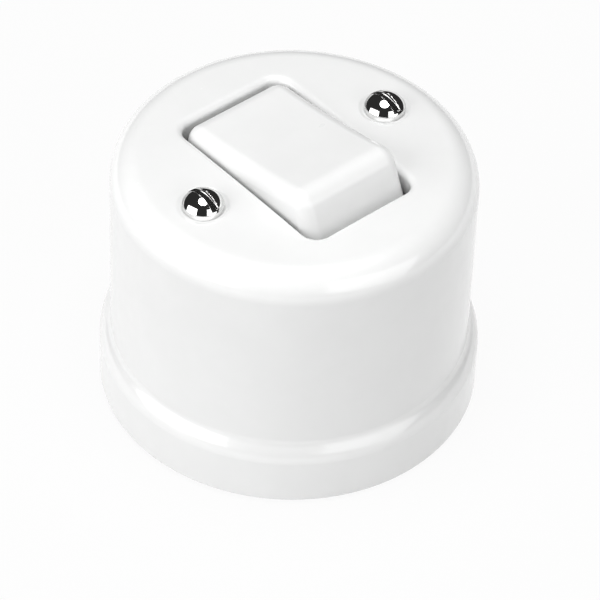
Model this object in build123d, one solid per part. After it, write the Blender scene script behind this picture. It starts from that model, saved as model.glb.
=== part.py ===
from build123d import *
import os
from math import atan2, cos, degrees, hypot, pi, radians, sin, tan

# Surface-mounted crossover rocker switch in a round porcelain case. Millimetres.
# The back lies on the wall at z = 0 and +Z points into the room. The rocker tips about an axis along X,
# and its +Y end is the one pressed in at rest.

# Cover
foot_d = 67.0
foot_draft = 0.1
foot_shoulder_z = 10.6
foot_slope_height = 1.8
foot_shoulder_r = 3.8
foot_root_r = 1.9
drum_d = 63.0
drum_draft = 0.2
cover_height = 49.8
crown_rise = 0.55
top_edge_r = 5.0
drum_wall = 3.7
foot_wall = 3.5
ceiling_thickness = 4.8
ceiling_corner_r = 3.0
wall_gap = 0.3
rim_ease = 0.6

# Window in the cover's top
window_length = 36.2
window_width = 22.6
window_corner_r = 3.6
window_edge_r = 1.2
window_inner_ease = 0.5

# Cover screws and what takes them
cover_screw_spacing = 40.0
cover_head_d = 6.8
cover_head_rim = 0.4
cover_head_height = 3.1
cover_slot_width = 1.3
cover_slot_depth = 1.6
screw_seat_depth = 0.35
screw_seat_gap = 0.5
screw_tips_gap = 3.03
m4_d = 4.0
m4_hole_d = 4.6
thread_fit = 0.02
pillar_d = 7.0
pillar_top_gap = 1.5
pillar_chamfer = 0.4

# Base
flange_thickness = 5.0
flange_gap = 0.4
base_side_gap = 1.8
base_edge_r = 1.0
hollow_gap = 0.3
wiring_hollow_depth = 6.4
straps_hollow_depth = 4.6
hollow_corner_r = 1.5
pillar_column_d = 12.0
wall_column_d = 10.0
wall_column_ledge = 0.6
wall_hole_spacing = 40.0
wall_hole_d = 4.5
wall_head_d = 8.2
wall_hole_length = 8.0
wire_hole_d = 5.0
wire_hole_x = 8.3
wire_hole_y = 18.0
wire_hole_ease = 0.6

# Rocker
pivot_depth = 8.8
rest_tilt = 8.5
dish_r = 116.0
dish_height = 11.08
rocker_end_distance = 17.6
rocker_half_width = 10.7
rocker_shoulder_r = 4.2
rocker_edge_r = 2.9
rocker_skirt = 1.2
rocker_wall = 2.6
rocker_top_wall = 2.9
rocker_inner_r = 1.2

# Rocker carrier, pivots and brackets
carrier_fit = 0.12
carrier_half_length = 9.0
carrier_side_wall = 2.0
carrier_end_wall = 1.35
carrier_boss_wall = 0.65
carrier_roof = 2.2
pivot_boss_d = 5.2
notch_gap = 0.15
pivot_pin_d = 2.5
pivot_pin_head_d = 4.4
pivot_pin_head = 0.9
pivot_pin_head_ease = 0.5
pivot_pin_engagement = 3.9
running_clearance = 0.05
bracket_thickness = 1.2
bracket_x = 13.0
bracket_side_gap = 0.15
bracket_eye_d = 5.8
bracket_width = 9.2
bracket_waist_height = 4.8
bracket_foot_past_screw = 4.4
bracket_bend_r = 1.0
bracket_inner_bend_r = 0.4

# Changeover levers
lever_x = 5.0
lever_rise = 4.5
lever_swing = 8.5
lever_width = 4.0
lever_past_contact = 1.8
lever_end_r = 1.4
lever_thickness = 1.6
lever_hub_d = 4.8
lever_hub_top = 2.4
lever_nub_d = 3.0
lever_nub_height = 1.8
lever_nub_ease = 1.05
lever_pin_d = 2.0
lever_pin_head_d = 3.2
lever_pin_head = 0.6
lever_side_gap = 0.1
contact_reach = 10.0
moving_contact_d = 3.6
moving_contact_thickness = 1.0
moving_contact_dome_r = 4.0
contact_gap = 0.05
fixed_contact_d = 4.4
fixed_contact_ease = 0.3
rivet_d = 2.4
rivet_tail_d = 4.0
rivet_tail = 0.8
rivet_tail_ease = 0.4

# Contact springs
spring_seat_depth = 5.0
spring_length = 9.1
spring_d = 4.6
spring_wire_d = 0.6
spring_turns = 5.5
spring_points_per_turn = 10
spring_seat_d = 5.6
spring_peg_d = 3.0
spring_peg_length = 2.0
spring_peg_ease = 0.6
spring_end_gap = 0.12

# Terminals and straps
terminal_x = 15.0
terminal_y = 13.0
terminal_pad = 7.0
terminal_pad_r = 1.0
brass_sheet = 1.2
fork_sheet = 0.9
fork_width = 5.2
strip_width = 3.2
strip_x = 10.4
input_rivet_y = 6.0
input_rivet_d = 1.8
input_rivet_head_d = 2.8
input_rivet_head = 0.6
strap_width = 4.6
strap_thickness = 1.0
bridge_drop = 2.6
bridge_length = 9.0
bridge_ramp = 3.0
post_head_d = 6.6
post_d = 4.8
terminal_screw_d = 3.3
terminal_head_d = 5.6
terminal_head_height = 2.2
terminal_head_ease = 0.6
terminal_slot_width = 0.9
terminal_slot_depth = 1.1
terminal_slot_turn = 35
terminal_screw_length = 8.0
clamp_size = 6.4
clamp_thickness = 0.9
clamp_bend_r = 0.63
clamp_lip = 0.8
clamp_hole_gap = 0.2

# Insulating plate and the screws behind it
plate_thickness = 1.2
plate_gap = 0.4
plate_hole_gap = 0.3
pillar_head_d = 7.0
pillar_head_height = 2.4
pillar_head_ease = 0.8
pillar_slot_width = 1.1
pillar_slot_depth = 1.1
pillar_screw_engagement = 7.0

# Places that follow from the sizes above. The mechanism hangs from the cover's top, and the base fills the rest.
cover_screw_x = cover_screw_spacing / 2
cover_seat_z = cover_height - crown_rise * (cover_screw_spacing / drum_d) ** 2 - screw_seat_depth
ceiling_z = cover_height - ceiling_thickness
pivot_height = cover_height - pivot_depth
lever_pivot_height = pivot_height - spring_seat_depth - spring_length - lever_hub_top
base_height = lever_pivot_height - lever_rise
base_underside_z = wiring_hollow_depth + straps_hollow_depth
foot_inner_d = foot_d - 2 * foot_wall
flange_d = foot_inner_d - 2 * flange_gap
base_d = drum_d - 2 * (drum_wall + base_side_gap)
pillar_z = base_height + bracket_thickness
cover_screw_length = cover_seat_z - pillar_z - pillar_screw_engagement - screw_tips_gap
sheet_top_z = base_height + brass_sheet
fork_outer = lever_width / 2 + lever_side_gap + fork_sheet
straps_hollow_d = 2 * (hypot(terminal_x, terminal_y) + hollow_gap) + strap_width
wiring_hollow_d = cover_screw_spacing + pillar_head_d + 2 * hollow_gap


def at_rest(piece, height, tilt):
    """Turn a piece that was drawn level about the X axis at this height."""
    return Pos(0, 0, height) * Rot(X=-tilt) * Pos(0, 0, -height) * piece


def upright(x, y, low, high, diameter):
    """A round bar along Z between two heights."""
    return Pos(x, y, low) * extrude(Circle(diameter / 2), high - low)


def along_x(start, end, height, diameter):
    """A round bar along X at this height."""
    bar = extrude(Plane.YZ * Circle(diameter / 2), end - start)
    return Pos(start, 0, height) * bar


def slot_cut(width, depth, length, top):
    """The screwdriver slot of a screw on the Z axis, along Y."""
    return Pos(0, 0, top - depth / 2 + 1) * Box(width, length, depth + 2)


def both_sides(points):
    """The four places that mirror one place about both axes."""
    x, y = points
    return [(sx * x, sy * y) for sy in (1, -1) for sx in (-1, 1)]


def make_cover():
    foot_r = foot_d / 2
    drum_r = drum_d / 2
    inner_r = drum_r - drum_wall
    slope_top = foot_shoulder_z + foot_slope_height
    crown_edge = cover_height - crown_rise
    crown_middle = cover_height - crown_rise / 4
    top_r = drum_r - drum_draft
    ledge_z = flange_thickness
    outline = Polyline(
        (0, ceiling_z),
        (inner_r, ceiling_z),
        (inner_r, ledge_z),
        (foot_inner_d / 2, ledge_z),
        (foot_inner_d / 2, wall_gap),
        (foot_r, wall_gap),
        (foot_r - foot_draft, foot_shoulder_z),
        (drum_r, slope_top),
        (top_r, crown_edge),
    )
    crown = ThreePointArc((top_r, crown_edge), (top_r / 2, crown_middle), (0, cover_height))
    section = make_face(outline + crown + Line((0, cover_height), (0, ceiling_z)))

    def corner(x, z):
        return section.vertices().sort_by_distance((x, z, 0))[0]

    for x, z, radius in (
        (top_r, crown_edge, top_edge_r),
        (inner_r, ceiling_z, ceiling_corner_r),
        (foot_r - foot_draft, foot_shoulder_z, foot_shoulder_r),
        (drum_r, slope_top, foot_root_r),
        (foot_r, wall_gap, rim_ease),
        (foot_inner_d / 2, wall_gap, rim_ease),
    ):
        section = fillet(corner(x, z), radius)
    shell = revolve(Plane.XZ * section, Axis.Z)

    window = RectangleRounded(window_width, window_length, window_corner_r)
    shell -= Pos(0, 0, ceiling_z - 1) * extrude(window, ceiling_thickness + 2)
    above = cover_height - ceiling_thickness / 2
    rim = shell.edges().filter_by(lambda e: near_window(e) and e.center().Z > above)
    shell = fillet(rim, window_edge_r)
    inner_rim = shell.edges().filter_by(lambda e: near_window(e) and abs(e.center().Z - ceiling_z) < 0.01)
    shell = chamfer(inner_rim, window_inner_ease)

    for side in (-1, 1):
        x = side * cover_screw_x
        shell -= upright(x, 0, ceiling_z - 1, cover_height + 1, m4_hole_d)
        shell -= upright(x, 0, cover_seat_z, cover_height + 1, cover_head_d + 2 * screw_seat_gap)
    return shell


def near_window(edge, margin=0.1):
    """Whether an edge runs round the window, within a margin for rounding."""
    box = edge.bounding_box()
    across = max(-box.min.X, box.max.X) < window_width / 2 + margin
    along = max(-box.min.Y, box.max.Y) < window_length / 2 + margin
    return across and along and box.min.Z > ceiling_z - margin


def make_cover_screws():
    rim_r = cover_head_d / 2
    dome = ThreePointArc(
        (rim_r, cover_head_rim),
        (rim_r * cos(pi / 4), cover_head_rim + (cover_head_height - cover_head_rim) * sin(pi / 4)),
        (0, cover_head_height),
    )
    flat = Polyline((0, cover_head_height), (0, 0), (rim_r, 0), (rim_r, cover_head_rim))
    head = revolve(Plane.XZ * make_face(flat + dome), Axis.Z)
    head -= slot_cut(cover_slot_width, cover_slot_depth, cover_head_d + 1, cover_head_height)
    screw = head + upright(0, 0, -cover_screw_length, 0, m4_d)
    return [Pos(side * cover_screw_x, 0, cover_seat_z) * screw for side in (-1, 1)]


def make_screw_pillars():
    top = ceiling_z - pillar_top_gap
    pillars = []
    for side in (-1, 1):
        x = side * cover_screw_x
        pillar = upright(x, 0, pillar_z, top, pillar_d)
        pillar = chamfer(pillar.edges().filter_by(GeomType.CIRCLE), pillar_chamfer)
        low_bore = pillar_z + pillar_screw_engagement + 1
        high_bore = cover_seat_z - cover_screw_length - 1
        pillar -= upright(x, 0, pillar_z - 1, low_bore, m4_d + 2 * thread_fit)
        pillar -= upright(x, 0, high_bore, top + 1, m4_d + 2 * thread_fit)
        pillars.append(pillar)
    return pillars


def make_pillar_screws():
    seat = wiring_hollow_depth - plate_thickness
    screws = []
    for side in (-1, 1):
        x = side * cover_screw_x
        head = upright(x, 0, seat - pillar_head_height, seat, pillar_head_d)
        head = fillet(head.edges().group_by(Axis.Z)[0], pillar_head_ease)
        slot = Box(pillar_slot_width, pillar_head_d + 1, 2 * pillar_slot_depth)
        head -= Pos(x, 0, seat - pillar_head_height) * slot
        shank = upright(x, 0, seat, pillar_z + pillar_screw_engagement, m4_d)
        screws.append(head + shank)
    return screws


def make_base():
    base_r = base_d / 2
    outline = Polyline(
        (0, 0), (flange_d / 2, 0), (flange_d / 2, flange_thickness), (base_r, flange_thickness),
        (base_r, base_height), (0, base_height), close=True,
    )
    section = make_face(outline)
    top_corner = section.vertices().sort_by_distance((base_r, base_height, 0))[0]
    section = fillet(top_corner, base_edge_r)
    body = revolve(Plane.XZ * section, Axis.Z)

    wall_columns = [(0, side * wall_hole_spacing / 2) for side in (-1, 1)]
    pillar_columns = [(side * cover_screw_x, 0) for side in (-1, 1)]
    wide_column_d = wall_column_d + 2 * wall_column_ledge
    wiring = hollow_outline(wiring_hollow_d, [(wall_columns, wall_column_d)])
    straps = hollow_outline(
        straps_hollow_d, [(wall_columns, wide_column_d), (pillar_columns, pillar_column_d)]
    )
    body -= extrude(wiring, wiring_hollow_depth)
    body -= Pos(0, 0, wiring_hollow_depth) * extrude(straps, base_underside_z - wiring_hollow_depth)

    for x, y in wall_columns:
        body -= upright(x, y, -1, base_height + 1, wall_hole_d)
        body -= upright(x, y, wall_hole_length, base_height + 1, wall_head_d)
    for x, y in pillar_columns:
        body -= upright(x, y, -1, base_height + 1, m4_hole_d)
    for x, y in both_sides((wire_hole_x, wire_hole_y)):
        body -= upright(x, y, wiring_hollow_depth - 1, base_height + 1, wire_hole_d)
        mouth = Cone(wire_hole_d / 2, wire_hole_d / 2 + wire_hole_ease, wire_hole_ease)
        body -= Pos(x, y, base_height - wire_hole_ease / 2) * mouth
    for x, y in both_sides((lever_x, contact_reach)):
        body -= upright(x, y, base_underside_z - 1, base_height + 1, rivet_d + 2 * thread_fit)
    for side in (-1, 1):
        x = side * terminal_x
        body -= upright(x, terminal_y, base_underside_z - 1, base_height + 1, post_d + 2 * thread_fit)
        blind = base_height - terminal_screw_length
        body -= upright(x, -terminal_y, blind, base_height + 1, terminal_screw_d + 2 * clamp_hole_gap)
        rivet_hole_d = input_rivet_d + 2 * thread_fit
        body -= upright(side * strip_x, -input_rivet_y, base_underside_z - 1, base_height + 1, rivet_hole_d)
    return body


def hollow_outline(diameter, columns):
    """A round hollow that leaves round columns standing, with eased inner corners."""
    outline = Sketch() + Circle(diameter / 2)
    for places, column_d in columns:
        for x, y in places:
            outline -= Pos(x, y) * Circle(column_d / 2)
    return fillet(outline.vertices(), hollow_corner_r)


def rocker_half_length(height):
    """Half the rocker's length at a height over the pivot, where the end walls lean in."""
    lean = radians(rest_tilt)
    return (rocker_end_distance - height * sin(lean)) / cos(lean)


def make_rocker():
    edge_height = dish_height + rocker_half_length(dish_height) ** 2 / (2 * dish_r)
    low, high = rocker_half_length(-rocker_skirt), rocker_half_length(edge_height)
    sides = Polyline((-high, edge_height), (-low, -rocker_skirt), (low, -rocker_skirt), (high, edge_height))
    dish = ThreePointArc((high, edge_height), (0, dish_height), (-high, edge_height))
    profile = make_face(sides + dish)
    profile = fillet(profile.vertices().group_by(Axis.Y)[-1], rocker_shoulder_r)
    cap = extrude(Plane.YZ * profile, rocker_half_width, both=True)
    lengthwise = cap.edges().filter_by(lambda e: abs(abs(e.center().X) - rocker_half_width) < 0.01)
    cap = fillet(lengthwise.filter_by(lambda e: e.center().Z > -rocker_skirt + 0.01), rocker_edge_r)

    below = -rocker_skirt - 1
    inner_top = dish_height - rocker_top_wall
    inner_low = rocker_half_length(below) - rocker_wall
    inner_high = rocker_half_length(inner_top) - rocker_wall
    hollow = Polyline(
        (-inner_low, below), (inner_low, below), (inner_high, inner_top), (-inner_high, inner_top), close=True
    )
    room = extrude(Plane.YZ * make_face(hollow), rocker_half_width - rocker_wall, both=True)
    room = fillet(room.edges().filter_by(lambda e: e.center().Z > below + 0.01), rocker_inner_r)
    cap -= room

    notch_r = pivot_boss_d / 2 + notch_gap
    notch = extrude(Plane.YZ * Circle(notch_r), rocker_half_width + 1, both=True)
    notch += Pos(0, 0, -notch_r) * Box(2 * rocker_half_width + 2, 2 * notch_r, 2 * notch_r)
    cap -= notch
    return at_rest(Pos(0, 0, pivot_height) * cap, pivot_height, rest_tilt)


def make_rocker_carrier():
    half_width = rocker_half_width - rocker_wall - carrier_fit
    top = dish_height - rocker_top_wall
    block = Pos(0, 0, (top - rocker_skirt) / 2) * Box(2 * half_width, 2 * carrier_half_length, top + rocker_skirt)
    block = fillet(block.edges().filter_by(Axis.Z) + block.edges().group_by(Axis.Z)[-1], rocker_inner_r)
    room_start = pivot_boss_d / 2 + carrier_boss_wall
    room_end = carrier_half_length - carrier_end_wall
    room_depth = top + rocker_skirt - carrier_roof
    room = Box(2 * (half_width - carrier_side_wall), room_end - room_start, 2 * room_depth)
    for side in (-1, 1):
        block -= Pos(0, side * (room_start + room_end) / 2, -rocker_skirt) * room
    bosses = extrude(Plane.YZ * Circle(pivot_boss_d / 2), bracket_x - bracket_side_gap, both=True)
    carrier = block + bosses
    for side in (-1, 1):
        x = side * lever_x
        post = upright(x, 0, -spring_seat_depth, 0, spring_seat_d)
        peg = upright(x, 0, -spring_seat_depth - spring_peg_length, -spring_seat_depth, spring_peg_d)
        peg = fillet(peg.edges().group_by(Axis.Z)[0], spring_peg_ease)
        carrier += post + peg
        bore_start = bracket_x - pivot_pin_engagement - bracket_side_gap
        bore = along_x(bore_start, bracket_x, 0, pivot_pin_d + 2 * running_clearance)
        carrier -= bore if side > 0 else mirror(bore, Plane.YZ)
    return at_rest(Pos(0, 0, pivot_height) * carrier, pivot_height, rest_tilt)


def make_pivot_pins():
    inner = bracket_x - pivot_pin_engagement
    outer = bracket_x + bracket_thickness
    pin = along_x(inner, outer, pivot_height, pivot_pin_d)
    head = along_x(outer, outer + pivot_pin_head, pivot_height, pivot_pin_head_d)
    head = fillet(head.edges().filter_by(GeomType.CIRCLE).group_by(Axis.X)[-1], pivot_pin_head_ease)
    pin += head
    return [mirror(pin, Plane.YZ), pin]


def make_bracket(side):
    """Folded steel angle: a foot under the pillar and a cheek with the pivot eye."""
    outer_x = cover_screw_x + bracket_foot_past_screw
    t = bracket_thickness
    fold = Polyline(
        (bracket_x, base_height), (outer_x, base_height), (outer_x, base_height + t),
        (bracket_x + t, base_height + t), (bracket_x + t, pivot_height), (bracket_x, pivot_height), close=True,
    )
    section = make_face(fold)
    inner = section.vertices().sort_by_distance((bracket_x + t, base_height + t, 0))[0]
    section = fillet(inner, bracket_inner_bend_r)
    outer = section.vertices().sort_by_distance((bracket_x, base_height, 0))[0]
    section = fillet(outer, bracket_bend_r)
    angle = extrude(Plane.XZ * section, bracket_width / 2, both=True)
    eye_r = bracket_eye_d / 2
    waist_z = base_height + bracket_waist_height
    for y_side in (-1, 1):
        trim = Polyline(
            (y_side * eye_r, pivot_height + 1), (y_side * bracket_width / 2, waist_z),
            (y_side * bracket_width, waist_z), (y_side * bracket_width, pivot_height + 1), close=True,
        )
        angle -= Pos(bracket_x - 1, 0, 0) * extrude(Plane.YZ * make_face(trim), t + 2)
    angle += along_x(bracket_x, bracket_x + t, pivot_height, bracket_eye_d)
    angle -= along_x(bracket_x - 1, bracket_x + t + 1, pivot_height, pivot_pin_d + 2 * thread_fit)
    angle -= upright(cover_screw_x, 0, base_height - 1, base_height + t + 1, m4_hole_d)
    return angle if side > 0 else mirror(angle, Plane.YZ)


def make_lever(side):
    """Changeover lever: a hub with the spring's nub on top and a contact arm to each side."""
    x = side * lever_x
    arms = Box(lever_width, 2 * (contact_reach + lever_past_contact), lever_thickness)
    arms = fillet(arms.edges().filter_by(Axis.Z), lever_end_r)
    hub = extrude(Plane.YZ * Circle(lever_hub_d / 2), lever_width / 2, both=True)
    head = Pos(0, 0, lever_hub_top / 2) * Box(lever_width, lever_hub_d, lever_hub_top)
    nub = upright(0, 0, lever_hub_top, lever_hub_top + lever_nub_height, lever_nub_d)
    nub = fillet(nub.edges().group_by(Axis.Z)[-1], lever_nub_ease)
    lever = arms + hub + head + nub
    lever -= along_x(-lever_width, lever_width, 0, lever_pin_d + 2 * running_clearance)
    return at_rest(Pos(x, 0, lever_pivot_height) * lever, lever_pivot_height, lever_swing)


def make_moving_contacts(side):
    top = -lever_thickness / 2
    low = top - moving_contact_thickness
    ball = Pos(0, 0, low + moving_contact_dome_r) * Sphere(moving_contact_dome_r)
    button = upright(0, 0, low, top, moving_contact_d) & ball
    buttons = []
    for y in (-contact_reach, contact_reach):
        placed = Pos(side * lever_x, y, lever_pivot_height) * button
        buttons.append(at_rest(placed, lever_pivot_height, lever_swing))
    return buttons


def fixed_contact_top():
    """Height at which a fixed contact just meets the domed moving contact at the end of the swing."""
    swing = radians(lever_swing)
    dome_height = moving_contact_dome_r - lever_thickness / 2 - moving_contact_thickness
    dome_centre = dome_height * cos(swing) - contact_reach * sin(swing)
    return lever_pivot_height + dome_centre - moving_contact_dome_r - contact_gap


def make_fixed_contacts():
    rivets = []
    for x, y in both_sides((lever_x, contact_reach)):
        head = upright(x, y, base_height, fixed_contact_top(), fixed_contact_d)
        head = fillet(head.edges().group_by(Axis.Z)[-1], fixed_contact_ease)
        tail_top = base_underside_z - strap_thickness
        shank = upright(x, y, tail_top, base_height, rivet_d)
        tail = upright(x, y, tail_top - rivet_tail, tail_top, rivet_tail_d)
        rivets.append(head + shank + fillet(tail.edges().group_by(Axis.Z)[0], rivet_tail_ease))
    return rivets


def make_lever_pins():
    reach = fork_outer + lever_pin_head
    pins = []
    for side in (-1, 1):
        pin = along_x(-fork_outer, fork_outer, lever_pivot_height, lever_pin_d)
        for start in (-reach, fork_outer):
            pin += along_x(start, start + lever_pin_head, lever_pivot_height, lever_pin_head_d)
        pins.append(Pos(side * lever_x, 0, 0) * pin)
    return pins


def spring_axis_point(t):
    """A point on the bent axis of a contact spring, from the carrier's seat to the lever's."""
    tilt, swing = radians(rest_tilt), radians(lever_swing)
    top_y = -spring_seat_depth * sin(tilt)
    top_z = pivot_height - spring_seat_depth * cos(tilt)
    low_y = lever_hub_top * sin(swing)
    low_z = lever_pivot_height + lever_hub_top * cos(swing)
    third = (top_z - low_z) / 3
    ys = (top_y, top_y - third * sin(tilt), low_y + third * sin(swing), low_y)
    zs = (top_z, top_z - third * cos(tilt), low_z + third * cos(swing), low_z)
    weights = ((1 - t) ** 3, 3 * t * (1 - t) ** 2, 3 * t**2 * (1 - t), t**3)
    return sum(w * y for w, y in zip(weights, ys)), sum(w * z for w, z in zip(weights, zs))


def make_contact_spring(side):
    """Compression spring wound round a bent axis, pressed between carrier and lever."""
    coil_r = (spring_d - spring_wire_d) / 2
    end_share = (spring_wire_d / 2 + spring_end_gap) / spring_length
    count = round(spring_turns * spring_points_per_turn)
    points = []
    for i in range(count + 1):
        share = i / count
        t = end_share + share * (1 - 2 * end_share)
        y, z = spring_axis_point(t)
        y_on, z_on = spring_axis_point(t + 0.001)
        run = ((y_on - y) ** 2 + (z_on - z) ** 2) ** 0.5
        turn = 2 * pi * spring_turns * share
        across = coil_r * cos(turn)
        points.append((
            side * lever_x + coil_r * sin(turn),
            y + across * (z - z_on) / run,
            z + across * (y_on - y) / run,
        ))
    wire = Spline(points)
    section = Plane(origin=wire @ 0, z_dir=wire % 0) * Circle(spring_wire_d / 2)
    return sweep(section, path=wire)


def make_input_terminal(side):
    """Folded brass: a fork for the lever, and a strip along the base to the terminal pad."""
    fork_base = Pos(lever_x, 0) * Rectangle(2 * fork_outer, fork_width)
    strip_low = -terminal_y - terminal_pad / 2
    strip_high = fork_width / 2
    strip = Pos(strip_x, (strip_low + strip_high) / 2) * Rectangle(strip_width, strip_high - strip_low)
    join = Pos((lever_x + strip_x) / 2, 0) * Rectangle(strip_x - lever_x, fork_width)
    pad = Pos(terminal_x, -terminal_y) * RectangleRounded(terminal_pad, terminal_pad, terminal_pad_r)
    sheet = extrude(fork_base + strip + join + pad, brass_sheet)
    piece = Pos(0, 0, base_height) * sheet
    for ear_side in (-1, 1):
        outer = lever_x + ear_side * fork_outer
        start = min(outer, outer - ear_side * fork_sheet)
        ear_height = lever_pivot_height - sheet_top_z
        ear = Pos(0, -fork_width / 2, 0) * Box(
            fork_sheet, fork_width, ear_height, align=(Align.MIN, Align.MIN, Align.MIN)
        )
        piece += Pos(start, 0, sheet_top_z) * ear
        piece += along_x(start, start + fork_sheet, lever_pivot_height, fork_width)
    piece -= along_x(0, 2 * lever_x, lever_pivot_height, lever_pin_d + 2 * thread_fit)
    piece -= upright(terminal_x, -terminal_y, base_height - 1, sheet_top_z + 1, terminal_screw_d + 2 * thread_fit)
    piece -= upright(strip_x, -input_rivet_y, base_height - 1, sheet_top_z + 1, input_rivet_d + 2 * thread_fit)
    return piece if side > 0 else mirror(piece, Plane.YZ)


def make_input_rivets():
    rivets = []
    for side in (-1, 1):
        x, y = side * strip_x, -input_rivet_y
        rivet = upright(x, y, base_underside_z, sheet_top_z, input_rivet_d)
        rivet += upright(x, y, sheet_top_z, sheet_top_z + input_rivet_head, input_rivet_head_d)
        rivet += upright(x, y, base_underside_z - input_rivet_head, base_underside_z, input_rivet_head_d)
        rivets.append(rivet)
    return rivets


def bar_between(start, end, width):
    """A flat bar with round ends from one point to another."""
    run_x, run_y = end[0] - start[0], end[1] - start[1]
    bar = Rot(Z=degrees(atan2(run_y, run_x))) * SlotCenterToCenter(hypot(run_x, run_y), width)
    return Pos((start[0] + end[0]) / 2, (start[1] + end[1]) / 2) * bar


def make_output_strap(side):
    """Brass strap behind the base from an output post to the near contact and across to the far one."""
    post = (side * terminal_x, terminal_y)
    near = (side * lever_x, contact_reach)
    far = (-side * lever_x, -contact_reach)
    low = base_underside_z - strap_thickness
    strap = Pos(0, 0, low) * extrude(bar_between(post, near, strap_width), strap_thickness)
    cross = Pos(0, 0, low) * extrude(bar_between(near, far, strap_width), strap_thickness)
    if side < 0:
        turn = Rot(Z=degrees(atan2(contact_reach, side * lever_x)))
        gap = Box(bridge_length + 2 * bridge_ramp, strap_width + 1, 3 * strap_thickness)
        cross -= Pos(0, 0, low) * turn * gap
        cross += turn * bridge(low)
    strap += cross
    for x, y in (near, far):
        strap -= upright(x, y, low - 1, base_underside_z + 1, rivet_d + 2 * thread_fit)
    strap -= upright(*post, low - 1, base_underside_z + 1, post_d + 2 * thread_fit)
    return strap


def bridge(low):
    """The stepped middle of the first strap, which passes under the second with an air gap."""
    half = bridge_length / 2
    foot = half + bridge_ramp
    drop = low - bridge_drop
    t = strap_thickness
    fold = t * tan(atan2(bridge_drop, bridge_ramp) / 2)
    path = Polyline(
        (-foot, low), (-half, drop), (half, drop), (foot, low), (foot, low + t), (foot - fold, low + t),
        (half - fold, drop + t), (fold - half, drop + t), (fold - foot, low + t), (-foot, low + t), close=True,
    )
    return extrude(Plane.XZ * make_face(path), strap_width / 2, both=True)


def make_output_posts():
    posts = []
    for side in (-1, 1):
        x = side * terminal_x
        low = base_underside_z - strap_thickness
        post = upright(x, terminal_y, base_height, sheet_top_z, post_head_d)
        post += upright(x, terminal_y, low, base_height, post_d)
        post -= upright(x, terminal_y, low - 1, sheet_top_z + 1, terminal_screw_d + 2 * thread_fit)
        posts.append(post)
    return posts


def make_wire_clamps():
    """Saddle clamps: small square plates with two edges folded down."""
    height = clamp_lip + clamp_thickness
    block = Pos(0, 0, height / 2) * Box(clamp_size, clamp_size, height)
    block = fillet(block.edges().filter_by(Axis.Y).group_by(Axis.Z)[-1], clamp_bend_r)
    room = clamp_size - 2 * clamp_thickness
    block -= Pos(0, 0, clamp_lip / 2) * Box(room, clamp_size + 1, clamp_lip)
    block -= upright(0, 0, -1, height + 1, terminal_screw_d + 2 * clamp_hole_gap)
    return [Pos(x, y, sheet_top_z) * block for x, y in both_sides((terminal_x, terminal_y))]


def make_terminal_screws():
    head = upright(0, 0, 0, terminal_head_height, terminal_head_d)
    head = fillet(head.edges().group_by(Axis.Z)[-1], terminal_head_ease)
    head -= slot_cut(terminal_slot_width, terminal_slot_depth, terminal_head_d + 1, terminal_head_height)
    screw = head + upright(0, 0, -terminal_screw_length, 0, terminal_screw_d)
    screw = Rot(Z=terminal_slot_turn) * screw
    seat = sheet_top_z + clamp_lip + clamp_thickness
    return [Pos(x, y, seat) * screw for x, y in both_sides((terminal_x, terminal_y))]


def make_insulating_plate():
    outline = Sketch() + Circle(wiring_hollow_d / 2 - plate_gap)
    for side in (-1, 1):
        outline -= Pos(0, side * wall_hole_spacing / 2) * Circle(wall_column_d / 2 + plate_gap)
    outline = fillet(outline.vertices(), hollow_corner_r / 2)
    for x, y in both_sides((wire_hole_x, wire_hole_y)):
        outline -= Pos(x, y) * Circle(wire_hole_d / 2 + plate_hole_gap)
    for side in (-1, 1):
        outline -= Pos(side * cover_screw_x, 0) * Circle(m4_hole_d / 2)
    return Pos(0, 0, wiring_hollow_depth - plate_thickness) * extrude(outline, plate_thickness)


pieces = {
    "base": make_base(),
    "cover": make_cover(),
    "cover_screws": make_cover_screws(),
    "screw_pillars": make_screw_pillars(),
    "pillar_screws": make_pillar_screws(),
    "insulating_plate": make_insulating_plate(),
    "bracket_left": make_bracket(-1),
    "bracket_right": make_bracket(1),
    "pivot_pins": make_pivot_pins(),
    "rocker": make_rocker(),
    "rocker_carrier": make_rocker_carrier(),
    "lever_a": make_lever(-1),
    "lever_b": make_lever(1),
    "moving_contacts_a": make_moving_contacts(-1),
    "moving_contacts_b": make_moving_contacts(1),
    "lever_pins": make_lever_pins(),
    "fixed_contacts": make_fixed_contacts(),
    "contact_spring_a": make_contact_spring(-1),
    "contact_spring_b": make_contact_spring(1),
    "input_terminal_a": make_input_terminal(-1),
    "input_terminal_b": make_input_terminal(1),
    "input_rivets": make_input_rivets(),
    "output_strap_1": make_output_strap(-1),
    "output_strap_2": make_output_strap(1),
    "output_posts": make_output_posts(),
    "wire_clamps": make_wire_clamps(),
    "terminal_screws": make_terminal_screws(),
}

os.makedirs("parts", exist_ok=True)
for name, piece in pieces.items():
    solid = Compound(children=piece) if isinstance(piece, list) else piece
    export_step(solid, f"parts/{name}.step")
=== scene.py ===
from math import atan2, cos, pi, radians, sin, sqrt, tan

import bmesh
import bpy
from mathutils import Matrix, Vector


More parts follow.
